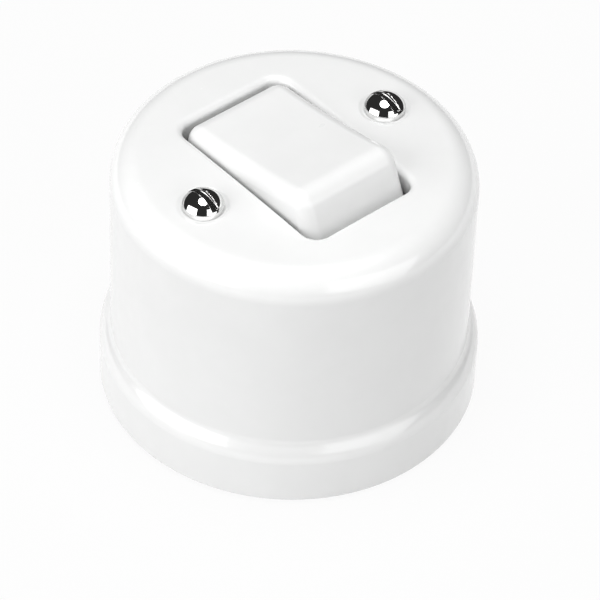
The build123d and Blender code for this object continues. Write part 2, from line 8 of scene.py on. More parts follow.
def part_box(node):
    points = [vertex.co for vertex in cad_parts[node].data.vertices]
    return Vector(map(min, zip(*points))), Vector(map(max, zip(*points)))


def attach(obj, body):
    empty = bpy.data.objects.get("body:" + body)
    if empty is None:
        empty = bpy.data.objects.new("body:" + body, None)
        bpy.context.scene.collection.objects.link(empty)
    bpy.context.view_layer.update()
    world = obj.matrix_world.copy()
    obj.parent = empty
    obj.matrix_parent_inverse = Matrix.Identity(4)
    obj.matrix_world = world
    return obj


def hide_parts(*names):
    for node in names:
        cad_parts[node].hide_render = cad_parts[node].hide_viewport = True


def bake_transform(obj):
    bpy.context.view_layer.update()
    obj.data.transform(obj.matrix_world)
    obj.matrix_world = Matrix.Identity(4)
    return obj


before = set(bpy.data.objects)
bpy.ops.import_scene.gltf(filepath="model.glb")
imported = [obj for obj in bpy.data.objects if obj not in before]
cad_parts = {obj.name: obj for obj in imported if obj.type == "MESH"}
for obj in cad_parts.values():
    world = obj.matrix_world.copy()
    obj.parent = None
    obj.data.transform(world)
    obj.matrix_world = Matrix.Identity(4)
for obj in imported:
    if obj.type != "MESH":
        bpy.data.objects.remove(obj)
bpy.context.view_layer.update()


# Base. One block of unglazed hard porcelain, pressed and fired, that carries every live piece and goes on
# the wall with two screws. Its skin is matt and slightly sandy, with a few dark firing specks.
mm = 0.001


def new_material(name, plain):
    """A material whose shader holds these plain values, given by the names of its sockets."""
    material = bpy.data.materials.new(name)
    material.use_nodes = True
    shader = material.node_tree.nodes["Principled BSDF"]
    for socket, value in plain.items():
        shader.inputs[socket].default_value = value
    return material, material.node_tree, shader


def new_node(tree, kind, values=None, **properties):
    node = tree.nodes.new(kind)
    for name, value in properties.items():
        setattr(node, name, value)
    for socket, value in (values or {}).items():
        node.inputs[socket].default_value = value
    return node


def new_group(name, inputs, outputs):
    """A shader group with its sockets; every input is (kind, value)."""
    group = bpy.data.node_groups.new(name, "ShaderNodeTree")
    for socket, (kind, value) in inputs.items():
        made = group.interface.new_socket(name=socket, in_out="INPUT", socket_type="NodeSocket" + kind)
        made.default_value = value
    for socket, kind in outputs.items():
        group.interface.new_socket(name=socket, in_out="OUTPUT", socket_type="NodeSocket" + kind)
    return group, group.nodes.new("NodeGroupInput"), group.nodes.new("NodeGroupOutput")


def sized_noise(tree, size_socket, stretch=(1, 1, 1), detail=4.0, roughness=0.5):
    """Noise on the object's own coordinates with patches of the size in this socket, in millimetres."""
    place = new_node(tree, "ShaderNodeTexCoord")
    shape = new_node(tree, "ShaderNodeMapping")
    shape.inputs["Scale"].default_value = [1 / (mm * s) for s in stretch]
    divide = new_node(tree, "ShaderNodeMath", {0: 1.0}, operation="DIVIDE")
    noise = new_node(tree, "ShaderNodeTexNoise", {"Detail": detail, "Roughness": roughness})
    tree.links.new(place.outputs["Object"], shape.inputs["Vector"])
    tree.links.new(shape.outputs["Vector"], noise.inputs["Vector"])
    tree.links.new(size_socket, divide.inputs[1])
    tree.links.new(divide.outputs[0], noise.inputs["Scale"])
    return noise.outputs["Fac"]


def stretched_mask(tree, source, low, high):
    """The stretch of a noise between two levels, drawn out to the whole range from 0 to 1."""
    span = new_node(tree, "ShaderNodeMapRange", {"From Min": low, "From Max": high})
    tree.links.new(source, span.inputs["Value"])
    return span.outputs["Result"]


def cloudy_tone_group():
    """Slow clouds between two tones, as firing, casting or handling leaves them."""
    group, given, out = new_group(
        "cloudy_tone",
        {
            "Tone": ("Color", (1, 1, 1, 1)),
            "Other tone": ("Color", (0, 0, 0, 1)),
            "Patch size": ("Float", 4.0),
        },
        {"Colour": "Color"},
    )
    noise = sized_noise(group, given.outputs["Patch size"], roughness=0.6)
    mix = new_node(group, "ShaderNodeMix", data_type="RGBA")
    group.links.new(stretched_mask(group, noise, 0.36, 0.64), mix.inputs["Factor"])
    group.links.new(given.outputs["Tone"], mix.inputs["A"])
    group.links.new(given.outputs["Other tone"], mix.inputs["B"])
    group.links.new(mix.outputs["Result"], out.inputs["Colour"])
    return group


def speck_group():
    """Small scattered specks, dark iron points in porcelain or bright ones in metal, laid over a colour."""
    group, given, out = new_group(
        "fine_specks",
        {
            "Colour": ("Color", (1, 1, 1, 1)),
            "Speck colour": ("Color", (0.2, 0.15, 0.1, 1)),
            "Spacing": ("Float", 3.0),
            "Radius": ("Float", 0.06),
        },
        {"Colour": "Color"},
    )
    place = new_node(group, "ShaderNodeTexCoord")
    divide = new_node(group, "ShaderNodeMath", {0: 1 / mm}, operation="DIVIDE")
    cells = new_node(group, "ShaderNodeTexVoronoi")
    limit = new_node(group, "ShaderNodeMath", operation="LESS_THAN")
    mix = new_node(group, "ShaderNodeMix", data_type="RGBA")
    group.links.new(given.outputs["Spacing"], divide.inputs[1])
    group.links.new(divide.outputs[0], cells.inputs["Scale"])
    group.links.new(place.outputs["Object"], cells.inputs["Vector"])
    group.links.new(cells.outputs["Distance"], limit.inputs[0])
    group.links.new(given.outputs["Radius"], limit.inputs[1])
    group.links.new(limit.outputs[0], mix.inputs["Factor"])
    group.links.new(given.outputs["Colour"], mix.inputs["A"])
    group.links.new(given.outputs["Speck colour"], mix.inputs["B"])
    group.links.new(mix.outputs["Result"], out.inputs["Colour"])
    return group


def uneven_gloss_group():
    """Roughness that wanders between two values in patches of one size."""
    group, given, out = new_group(
        "uneven_gloss",
        {"Smooth": ("Float", 0.2), "Dull": ("Float", 0.4), "Patch size": ("Float", 2.0)},
        {"Roughness": "Float"},
    )
    noise = sized_noise(group, given.outputs["Patch size"], detail=1.0)
    span = new_node(group, "ShaderNodeMapRange", {"From Min": 0.1, "From Max": 0.9})
    group.links.new(noise, span.inputs["Value"])
    group.links.new(given.outputs["Smooth"], span.inputs["To Min"])
    group.links.new(given.outputs["Dull"], span.inputs["To Max"])
    group.links.new(span.outputs["Result"], out.inputs["Roughness"])
    return group


def relief_group():
    """Fine relief for the Normal socket: a slow wave under a fine grain."""
    group, given, out = new_group(
        "surface_relief",
        {
            "Wave size": ("Float", 6.0),
            "Wave depth": ("Float", 0.02),
            "Grain size": ("Float", 0.3),
            "Grain depth": ("Float", 0.005),
        },
        {"Normal": "Vector"},
    )
    wave = sized_noise(group, given.outputs["Wave size"], detail=1.0)
    grain = sized_noise(group, given.outputs["Grain size"], detail=3.0)
    normal = None
    for source, depth in ((wave, "Wave depth"), (grain, "Grain depth")):
        scale = new_node(group, "ShaderNodeMath", {1: mm}, operation="MULTIPLY")
        bump = new_node(group, "ShaderNodeBump")
        group.links.new(given.outputs[depth], scale.inputs[0])
        group.links.new(scale.outputs[0], bump.inputs["Distance"])
        group.links.new(source, bump.inputs["Height"])
        if normal is not None:
            group.links.new(normal, bump.inputs["Normal"])
        normal = bump.outputs["Normal"]
    group.links.new(normal, out.inputs["Normal"])
    return group


cloudy_tone = cloudy_tone_group()
fine_specks = speck_group()
uneven_gloss = uneven_gloss_group()
surface_relief = relief_group()


def add_group(tree, group, values):
    """Place a shared group in a material, with this material's own values."""
    node = tree.nodes.new("ShaderNodeGroup")
    node.node_tree = group
    for socket, value in values.items():
        node.inputs[socket].default_value = value
    return node


def dress(material, *nodes):
    """Give pieces of the frame their finish."""
    for name in nodes:
        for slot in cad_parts[name].material_slots:
            slot.material = material


bisque, tree, shader = new_material("bisque_porcelain_finish", {"IOR": 1.5})
clouds = add_group(tree, cloudy_tone, {
    "Tone": (0.82, 0.805, 0.765, 1), "Other tone": (0.75, 0.73, 0.68, 1), "Patch size": 7.0,
})
specks = add_group(tree, fine_specks, {
    "Speck colour": (0.30, 0.22, 0.15, 1), "Spacing": 2.6, "Radius": 0.045,
})
gloss = add_group(tree, uneven_gloss, {"Smooth": 0.42, "Dull": 0.68, "Patch size": 1.5})
relief = add_group(tree, surface_relief, {
    "Wave size": 5.0, "Wave depth": 0.03, "Grain size": 0.12, "Grain depth": 0.02,
})
tree.links.new(clouds.outputs["Colour"], specks.inputs["Colour"])
tree.links.new(specks.outputs["Colour"], shader.inputs["Base Color"])
tree.links.new(gloss.outputs["Roughness"], shader.inputs["Roughness"])
tree.links.new(relief.outputs["Normal"], shader.inputs["Normal"])
dress(bisque, "base")


# Insulating plate. Vulcanised fibre, punched to the outline of the wiring hollow. It is pressed paper, so
# it is reddish grey with short fibres, and slightly polished from the rollers.
fibre, tree, shader = new_material("vulcan_fibre_finish", {"IOR": 1.5})
clouds = add_group(tree, cloudy_tone, {
    "Tone": (0.40, 0.155, 0.105, 1), "Other tone": (0.33, 0.12, 0.08, 1), "Patch size": 1.4,
})
specks = add_group(tree, fine_specks, {
    "Speck colour": (0.48, 0.23, 0.16, 1), "Spacing": 0.5, "Radius": 0.16,
})
gloss = add_group(tree, uneven_gloss, {"Smooth": 0.38, "Dull": 0.55, "Patch size": 0.8})
relief = add_group(tree, surface_relief, {
    "Wave size": 3.0, "Wave depth": 0.01, "Grain size": 0.2, "Grain depth": 0.012,
})
tree.links.new(clouds.outputs["Colour"], specks.inputs["Colour"])
tree.links.new(specks.outputs["Colour"], shader.inputs["Base Color"])
tree.links.new(gloss.outputs["Roughness"], shader.inputs["Roughness"])
tree.links.new(relief.outputs["Normal"], shader.inputs["Normal"])
dress(fibre, "insulating_plate")


# Brass pieces. Pillars, folded terminals, straps, posts, levers and rivets are drawn or punched brass. The
# sheet keeps faint rolling lines, and handling has left slightly browner patches.
def rolling_lines_group():
    """Fine parallel lines for the Normal socket, as rolling, drawing or turning leaves them."""
    group, given, out = new_group(
        "rolling_lines",
        {"Line spacing": ("Float", 0.15), "Depth": ("Float", 0.004)},
        {"Normal": "Vector"},
    )
    lines = sized_noise(group, given.outputs["Line spacing"], stretch=(1, 40, 1), detail=2.0)
    scale = new_node(group, "ShaderNodeMath", {1: mm}, operation="MULTIPLY")
    bump = new_node(group, "ShaderNodeBump")
    group.links.new(given.outputs["Depth"], scale.inputs[0])
    group.links.new(scale.outputs[0], bump.inputs["Distance"])
    group.links.new(lines, bump.inputs["Height"])
    group.links.new(bump.outputs["Normal"], out.inputs["Normal"])
    return group


rolling_lines = rolling_lines_group()


def metal(name, tone, other_tone, patch, smooth, dull, spacing, depth):
    """A bare or plated metal with clouds in its colour, uneven gloss and fine lines.

    Smooth and dull are roughnesses; the patches, the lines' spacing and their depth are in millimetres."""
    material, tree, shader = new_material(name, {"Metallic": 1.0})
    clouds = add_group(tree, cloudy_tone, {"Tone": tone, "Other tone": other_tone, "Patch size": patch})
    gloss = add_group(tree, uneven_gloss, {"Smooth": smooth, "Dull": dull, "Patch size": patch / 2})
    lines = add_group(tree, rolling_lines, {"Line spacing": spacing, "Depth": depth})
    tree.links.new(clouds.outputs["Colour"], shader.inputs["Base Color"])
    tree.links.new(gloss.outputs["Roughness"], shader.inputs["Roughness"])
    tree.links.new(lines.outputs["Normal"], shader.inputs["Normal"])
    return material


brass = metal(
    "brass_finish", tone=(0.80, 0.56, 0.24, 1), other_tone=(0.66, 0.43, 0.17, 1), patch=3.0,
    smooth=0.18, dull=0.34, spacing=0.12, depth=0.004,
)
dress(
    brass, "screw_pillars", "input_terminal_a", "input_terminal_b", "input_rivets", "output_strap_1",
    "output_strap_2", "output_posts", "lever_a", "lever_b",
)


# Brackets, clamps, pins and inner screws. Steel, zinc plated after folding, turning or threading. The
# plating is bluish grey and a little cloudy, with fine lines from the sheet or the lathe.
zinc = metal(
    "zinc_steel_finish", tone=(0.62, 0.64, 0.66, 1), other_tone=(0.50, 0.52, 0.55, 1), patch=1.6,
    smooth=0.24, dull=0.42, spacing=0.1, depth=0.003,
)
dress(
    zinc, "bracket_left", "bracket_right", "pivot_pins", "lever_pins", "wire_clamps", "terminal_screws",
    "pillar_screws",
)


# Contacts. Silver faces on the moving buttons and on the fixed rivets. They are pressed bright, and the air
# has dulled them in small patches.
silver = metal(
    "contact_silver_finish", tone=(0.86, 0.85, 0.82, 1), other_tone=(0.74, 0.72, 0.68, 1), patch=0.9,
    smooth=0.14, dull=0.3, spacing=0.06, depth=0.002,
)
dress(silver, "fixed_contacts", "moving_contacts_a", "moving_contacts_b")


# Rocker carrier. A dark brown phenolic moulding that clips into the button and turns on the two pivots. Its
# moulded skin is satin, with faint flow clouds.
carrier_moulding, tree, shader = new_material("carrier_moulding_finish", {"IOR": 1.55})
clouds = add_group(tree, cloudy_tone, {
    "Tone": (0.075, 0.052, 0.038, 1), "Other tone": (0.055, 0.037, 0.027, 1), "Patch size": 2.4,
})
gloss = add_group(tree, uneven_gloss, {"Smooth": 0.3, "Dull": 0.46, "Patch size": 1.2})
relief = add_group(tree, surface_relief, {
    "Wave size": 3.0, "Wave depth": 0.012, "Grain size": 0.15, "Grain depth": 0.004,
})
tree.links.new(clouds.outputs["Colour"], shader.inputs["Base Color"])
tree.links.new(gloss.outputs["Roughness"], shader.inputs["Roughness"])
tree.links.new(relief.outputs["Normal"], shader.inputs["Normal"])
dress(carrier_moulding, "rocker_carrier")


# Contact springs. Drawn steel wire, wound in an open coil that bends between the carrier and the lever.
# The coil is made in a lower and an upper half, which meet at mid-height.
spring_d, spring_wire_d, spring_turns = 4.6 * mm, 0.6 * mm, 5.5
seat_gap = 0.12 * mm
spring_seat, lever_hub = 5.0 * mm, 2.4 * mm
pivot_height, lever_pivot = 41.0 * mm, 24.5 * mm
rest_tilt = radians(8.5)
spring_steel = metal(
    "spring_wire_finish", tone=(0.52, 0.52, 0.53, 1), other_tone=(0.42, 0.42, 0.43, 1), patch=0.8,
    smooth=0.2, dull=0.36, spacing=0.05, depth=0.002,
)


def new_piece(name, mesh, material):
    """An object at the origin from finished mesh data, shaded smooth."""
    for face in mesh.polygons:
        face.use_smooth = True
    piece = bpy.data.objects.new(name, mesh)
    piece.data.materials.append(material)
    bpy.context.scene.collection.objects.link(piece)
    return piece


def bent_axis(t, low, high):
    """A point on the coil's axis, which leaves both seats square and so bends into a bow."""
    third = (high.z - low.z) / 3
    handles = (
        low,
        low + Vector((0, sin(rest_tilt), cos(rest_tilt))) * third,
        high + Vector((0, sin(rest_tilt), -cos(rest_tilt))) * third,
        high,
    )
    weights = ((1 - t) ** 3, 3 * t * (1 - t) ** 2, 3 * t**2 * (1 - t), t**3)
    return sum((handle * weight for handle, weight in zip(handles, weights)), Vector())


def coil_half(name, low, high, first, last, per_turn=28):
    """The part of the coil between two shares of its length, as a mesh tube."""
    end_share = (spring_wire_d / 2 + seat_gap) / (high - low).length
    coil_r = (spring_d - spring_wire_d) / 2
    curve = bpy.data.curves.new(name, "CURVE")
    curve.dimensions = "3D"
    wire = curve.splines.new("POLY")
    count = round(spring_turns * per_turn * (last - first))
    wire.points.add(count)
    for i in range(count + 1):
        share = first + (last - first) * i / count
        t = end_share + (1 - 2 * end_share) * share
        on_axis = bent_axis(t, low, high)
        along = (bent_axis(t + 0.001, low, high) - on_axis).normalized()
        turn = 2 * pi * spring_turns * (1 - share)
        out = Vector((1, 0, 0)) * sin(turn) + along.cross(Vector((1, 0, 0))) * cos(turn)
        wire.points[i].co = (*(on_axis + out * coil_r), 1)
    curve.bevel_depth = spring_wire_d / 2
    curve.bevel_resolution = 3
    curve.use_fill_caps = True
    drawn = bpy.data.objects.new(name + "_curve", curve)
    mesh = bpy.data.meshes.new_from_object(drawn)
    bpy.data.objects.remove(drawn)
    return mesh


def make_spring(side):
    node, lever = "contact_spring_" + side, "lever_arm_" + side
    box_low, box_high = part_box(node)
    x = (box_low.x + box_high.x) / 2
    low = Vector((x, lever_hub * sin(rest_tilt), lever_pivot + lever_hub * cos(rest_tilt)))
    high = Vector((x, -spring_seat * sin(rest_tilt), pivot_height - spring_seat * cos(rest_tilt)))
    still = (low + high) / 2
    halves = (
        ("lower", 0, 0.5, lever, "housing", low, still),
        ("upper", 0.5, 1, "housing", "rocker_button", still, high),
    )
    for part, first, last, body, other_body, start, end in halves:
        name = "contact_coil_" + side + "_" + part
        coil = new_piece(name, coil_half(name, low, high, first, last), spring_steel)
        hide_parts(node)
        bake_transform(coil)


for side in "ab":
    make_spring(side)


# Rocker button. One porcelain pressing with a dished top, rounded shoulders and leaning end walls, glazed
# all over. It is hollow below for the carrier, and notched on both sides for the pivot bosses.
dish_r, dish_height = 170.0 * mm, 11.28 * mm
rocker_end, wall_lean = 17.8 * mm, radians(16)
rocker_half_width = 10.8 * mm
shoulder_r, edge_r = 3.5 * mm, 2.7 * mm
rocker_skirt = 1.2 * mm
rocker_wall = 2.6 * mm
notch_r = 2.75 * mm
rocker_weld = 0.001 * mm


def end_wall_y(height):
    """How far the leaning end wall stands from the pivot at this height."""
    return (rocker_end - height * sin(wall_lean)) / cos(wall_lean)


def rocker_outline(shoulder_steps=14, dish_steps=36):
    """Half of the button's lengthwise outline from the skirt up to the middle of the dish.

    Each entry is a point (y, z) and the direction that faces out of the outline there. The shoulder's
    centre moves up along the wall until its circle touches the dish."""
    wall_out = Vector((cos(wall_lean), sin(wall_lean)))
    dish_centre = Vector((0, dish_height + dish_r))
    reach = dish_r + shoulder_r
    wall_point = Vector((end_wall_y(0), 0)) - wall_out * shoulder_r
    along = Vector((-wall_out.y, wall_out.x))
    offset = wall_point - dish_centre
    middle = offset.dot(along)
    step = -middle - sqrt(middle**2 - offset.length_squared + reach**2)
    centre = wall_point + along * step
    dish_out = (dish_centre - centre).normalized()
    skirt_y = end_wall_y(-rocker_skirt)
    points = [(Vector((skirt_y, -rocker_skirt)), wall_out)]
    start = atan2(wall_out.y, wall_out.x)
    end = atan2(dish_out.y, dish_out.x)
    for i in range(shoulder_steps + 1):
        angle = start + (end - start) * i / shoulder_steps
        out = Vector((cos(angle), sin(angle)))
        points.append((centre + out * shoulder_r, out))
    edge = centre + dish_out * shoulder_r
    for i in range(1, dish_steps + 1):
        y = edge.x * (1 - i / dish_steps)
        on_dish = Vector((y, dish_centre.y - sqrt(dish_r**2 - y**2)))
        points.append((on_dish, (dish_centre - on_dish).normalized()))
    return points


def make_rocker(edge_steps=10, notch_steps=16):
    """The button's outer skin: the outline drawn sideways, rounded along its edge, closed and mirrored."""
    half = rocker_outline()
    whole = half + [(Vector((-p.x, p.y)), Vector((-out.x, out.y))) for p, out in reversed(half[:-1])]
    shell = bmesh.new()
    facing = shell.verts.layers.float_vector.new("facing")
    row = []
    for point, out in whole:
        vert = shell.verts.new((0, point.x, point.y))
        vert[facing] = (0, out.x, out.y)
        row.append(vert)
    edges = [shell.edges.new(pair) for pair in zip(row, row[1:])]
    stops = [(rocker_half_width - edge_r, 0)]
    for i in range(1, edge_steps + 1):
        angle = pi / 2 * i / edge_steps
        stops.append((rocker_half_width - edge_r * (1 - sin(angle)), edge_r * (1 - cos(angle))))
    across, inward = 0, 0
    for next_across, next_inward in stops:
        made = bmesh.ops.extrude_edge_only(shell, edges=edges)["geom"]
        verts = [v for v in made if isinstance(v, bmesh.types.BMVert)]
        edges = [e for e in made if isinstance(e, bmesh.types.BMEdge)]
        for vert in verts:
            vert.co += Vector((next_across - across, 0, 0)) - vert[facing] * (next_inward - inward)
        across, inward = next_across, next_inward
    for vert in shell.verts:
        on_rim = any(len(edge.link_faces) == 1 for edge in vert.link_edges)
        if on_rim and vert.co.z < 0 and abs(vert.co.y) > end_wall_y(shoulder_r) - 2 * edge_r:
            vert.co.z = -rocker_skirt
    at_skirt = [vert for vert in verts if abs(vert.co.z + rocker_skirt) < 10 * rocker_weld]
    corners = sorted(at_skirt, key=lambda vert: vert.co.y)
    notch = [corners[0], shell.verts.new((rocker_half_width, -notch_r, -rocker_skirt))]
    for i in range(notch_steps + 1):
        angle = pi - pi * i / notch_steps
        notch.append(shell.verts.new((rocker_half_width, notch_r * cos(angle), notch_r * sin(angle))))
    notch += [shell.verts.new((rocker_half_width, notch_r, -rocker_skirt)), corners[-1]]
    edges += [shell.edges.new(pair) for pair in zip(notch, notch[1:])]
    bmesh.ops.contextual_create(shell, geom=edges)
    half_shell = shell.verts[:] + shell.edges[:] + shell.faces[:]
    bmesh.ops.mirror(shell, geom=half_shell, axis="X", merge_dist=rocker_weld)
    bmesh.ops.remove_doubles(shell, verts=shell.verts, dist=rocker_weld)
    bmesh.ops.recalc_face_normals(shell, faces=shell.faces)
    top_faces = [face for face in shell.faces if face.calc_center_median().z > 0.9 * dish_height]
    if max(top_faces, key=lambda face: abs(face.normal.z)).normal.z < 0:
        bmesh.ops.reverse_faces(shell, faces=shell.faces)
    bmesh.ops.translate(shell, vec=(0, 0, pivot_height), verts=shell.verts)
    tilt = Matrix.Rotation(-rest_tilt, 3, "X")
    bmesh.ops.rotate(shell, cent=(0, 0, pivot_height), matrix=tilt, verts=shell.verts)
    mesh = bpy.data.meshes.new("rocker_button_shell")
    shell.to_mesh(mesh)
    shell.free()
    return mesh


def glaze(name, tone, other_tone, patch, smooth, dull, wave, plain):
    """Porcelain under a clear glaze: a cloudy white body and a slow ripple in its shine."""
    material, tree, shader = new_material(name, plain)
    clouds = add_group(tree, cloudy_tone, {"Tone": tone, "Other tone": other_tone, "Patch size": patch})
    gloss = add_group(tree, uneven_gloss, {"Smooth": smooth, "Dull": dull, "Patch size": 3.0})
    relief = add_group(tree, surface_relief, {
        "Wave size": 9.0, "Wave depth": wave, "Grain size": 0.5, "Grain depth": 0.0006,
    })
    tree.links.new(clouds.outputs["Colour"], shader.inputs["Base Color"])
    tree.links.new(gloss.outputs["Roughness"], shader.inputs["Roughness"])
    tree.links.new(relief.outputs["Normal"], shader.inputs["Normal"])
    return material


rocker_glaze = glaze(
    "rocker_glaze_finish", tone=(0.865, 0.868, 0.865, 1), other_tone=(0.845, 0.848, 0.845, 1), patch=9.0,
    smooth=0.26, dull=0.34, wave=0.012,
    plain={"IOR": 1.5, "Coat Weight": 0.35, "Coat Roughness": 0.12, "Coat IOR": 1.5},
)
button = new_piece("rocker_button_shell", make_rocker(), rocker_glaze)
thickness = button.modifiers.new("wall", "SOLIDIFY")
thickness.thickness = rocker_wall
thickness.offset = -1
thickness.use_even_offset = True
flat_sides = button.modifiers.new("flat_sides", "WEIGHTED_NORMAL")
flat_sides.keep_sharp = True
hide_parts("rocker")
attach(button, "rocker_button")


# Cover. One casting of hard porcelain under a thick clear glaze, which rounds every edge. It drops over the
# base's flange, and two screws beside the window hold it down. Inside it is hollow up to the thick top.
foot_r, foot_draft = 33.5 * mm, 0.1 * mm
foot_shoulder_z, foot_slope_height = 10.6 * mm, 1.8 * mm
foot_fillet_r, foot_crest_r, rim_r, inner_fillet_r = 1.9 * mm, 3.8 * mm, 0.6 * mm, 3.0 * mm
drum_r, drum_draft = 31.5 * mm, 0.2 * mm
cover_height, crown_rise, top_edge_r = 49.8 * mm, 0.55 * mm, 5.0 * mm
drum_wall, foot_wall, ceiling = 3.7 * mm, 3.5 * mm, 4.8 * mm
ledge_z, wall_gap = 5.0 * mm, 0.3 * mm
window_length, window_width, window_corner = 36.2 * mm, 22.6 * mm, 2.8 * mm
window_lip_r, window_ease = 1.2 * mm, 0.5 * mm
screw_x = 20.0 * mm
seat_z = 49.228 * mm
seat_r, seat_rim_r, screw_hole_r, hole_ease = 3.55 * mm, 4.7 * mm, 2.3 * mm, 0.2 * mm
seat_margin, hole_margin = 0.35 * mm, 0.6 * mm
ring_gap, ceiling_band, cover_weld = 0.3 * mm, 4.0 * mm, 0.002 * mm
top_r = drum_r - drum_draft
ceiling_z = cover_height - ceiling
crown_r = (top_r**2 + crown_rise**2) / (2 * crown_rise)


def window_reach(angle, grow):
    """Distance from the axis to the window's outline, grown by so much, in this direction."""
    half_x, half_y = window_width / 2 + grow, window_length / 2 + grow
    corner = window_corner + grow
    ray = Vector((abs(cos(angle)), abs(sin(angle))))
    if half_x * ray.y <= (half_y - corner) * ray.x:
        return half_x / ray.x
    if half_y * ray.x <= (half_x - corner) * ray.y:
        return half_y / ray.y
    centre = Vector((half_x - corner, half_y - corner))
    along = ray.dot(centre)
    return along + sqrt(along**2 - centre.length_squared + corner**2)


def crown_z(reach):
    """Height of the crowned top at this distance from the axis."""
    return cover_height - crown_r + sqrt(crown_r**2 - reach**2)


def grow_ring(shell, ring, place):
    """Extrude a closed ring of edges and send each new vertex, by its angle, to a reach and a height."""
    made = bmesh.ops.extrude_edge_only(shell, edges=ring)["geom"]
    for vert in made:
        if isinstance(vert, bmesh.types.BMVert):
            angle = atan2(vert.co.y, vert.co.x)
            reach, height = place(angle)
            vert.co = (reach * cos(angle), reach * sin(angle), height)
    return [edge for edge in made if isinstance(edge, bmesh.types.BMEdge)]


def window_ring(shell, long_cuts=47, short_cuts=25, corner_steps=14):
    """The first ring: a rectangle with rounded corners at the ceiling, cut fine along its sides."""
    size = Matrix.Diagonal((window_width / 2 + window_ease, window_length / 2 + window_ease, 1, 1))
    place = Matrix.Translation((0, 0, ceiling_z))
    bmesh.ops.create_grid(shell, x_segments=1, y_segments=1, size=1, matrix=place @ size)
    bmesh.ops.bevel(
        shell, geom=shell.verts[:], offset=window_corner + window_ease, affect="VERTICES",
        segments=corner_steps, profile=0.5, material=-1,
    )
    sides = [edge for edge in shell.edges if edge.calc_length() > 2 * window_corner]
    for edge in sides:
        upright_side = abs(edge.verts[0].co.x - edge.verts[1].co.x) < 0.01 * mm
        bmesh.ops.subdivide_edges(shell, edges=[edge], cuts=long_cuts if upright_side else short_cuts)
    bmesh.ops.delete(shell, geom=shell.faces[:], context="FACES_ONLY")
    return shell.edges[:]


def radius_ring(reach, height):
    """A place for grow_ring: the same reach and height all round."""
    return lambda angle: (reach, height)


def round_off(shell, ring, radius, turn, segments):
    """Round the edge at a ring. The offset is the tangent length of an arc of this radius and turn."""
    bmesh.ops.bevel(
        shell, geom=ring, offset=radius * tan(turn / 2), affect="EDGES", segments=segments,
        profile=0.5, material=-1, clamp_overlap=False,
    )


def clear_round(shell, x, z, clear_r, near_z=0.8 * mm, level=0.9):
    """Take out the level faces round a screw's place and return the edges round the hole."""
    middle = Vector((x, 0))
    before = {edge for edge in shell.edges if len(edge.link_faces) == 1}
    near = [
        face for face in shell.faces
        if abs(face.calc_center_median().z - z) < near_z and abs(face.normal.z) > level
        and min((v.co.xy - middle).length for v in face.verts) < clear_r
    ]
    bmesh.ops.delete(shell, geom=near, context="FACES")
    return [edge for edge in shell.edges if len(edge.link_faces) == 1 and edge not in before]


def grow_circle(shell, ring, x, place):
    """Extrude a circle about a screw's axis; place(radius now, height now) gives the new ones."""
    made = bmesh.ops.extrude_edge_only(shell, edges=ring)["geom"]
    for vert in made:
        if isinstance(vert, bmesh.types.BMVert):
            out = (vert.co.xy - Vector((x, 0))).normalized()
            reach, height = place(vert.co)
            vert.co = (x + out.x * reach, out.y * reach, height)
    return [edge for edge in made if isinstance(edge, bmesh.types.BMEdge)]


